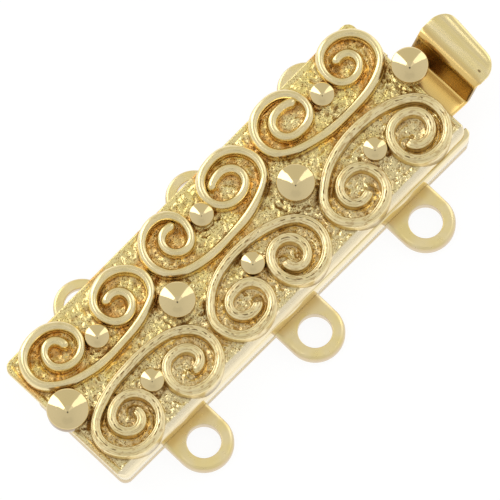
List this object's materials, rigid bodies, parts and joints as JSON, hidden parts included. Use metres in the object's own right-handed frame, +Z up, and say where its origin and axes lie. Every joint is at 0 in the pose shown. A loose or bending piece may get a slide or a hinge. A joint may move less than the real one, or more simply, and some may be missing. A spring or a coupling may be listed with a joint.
{
  "type": "multi-strand box clasp",
  "caption": "Slide-in box clasp for several necklace or bracelet strands, with a scroll-and-ball ornament plate, side rings and a spring leaf with a thumb tab.",
  "frame": {"origin": "on the flat underside of the box, below the middle of the ornament plate", "axes": "+X along the clasp towards the thumb tab, -Y towards the box's own rings, +Y towards the tongue's rings, +Z up through the ornament plate"},
  "size_m": [0.0317, 0.0131, 0.0045],
  "materials": {
    "satin_plating": "satin champagne-gold plating",
    "bright_plating": "mirror-polished champagne-gold plating",
    "cast_plating": "cast and plated, polished on the wires and balls, rough in the ground",
    "tongue_plating": "satin champagne-gold plating",
    "leaf_plating": "rolled strip, polished, champagne-gold plating"
  },
  "bodies": {
    "box": {"base_plate": "satin_plating", "box_shell": "bright_plating", "ornament_plate": "cast_plating"},
    "tongue": {"tongue_rail": "tongue_plating"},
    "leaf": {"tongue_leaf": "leaf_plating"}
  },
  "joints": [
    {"name": "tongue_slide", "type": "slide", "parent": "box", "child": "tongue", "axis": [1, 0, 0], "range_m": [0, 0.028]},
    {"name": "thumb_press", "type": "hinge", "parent": "tongue", "child": "leaf", "pos_m": [-0.0119, -0.0009, 0.00145], "axis": [0, 1, 0], "range_deg": [0, 1], "stiffness_Nm_per_rad": 1}
  ]
}
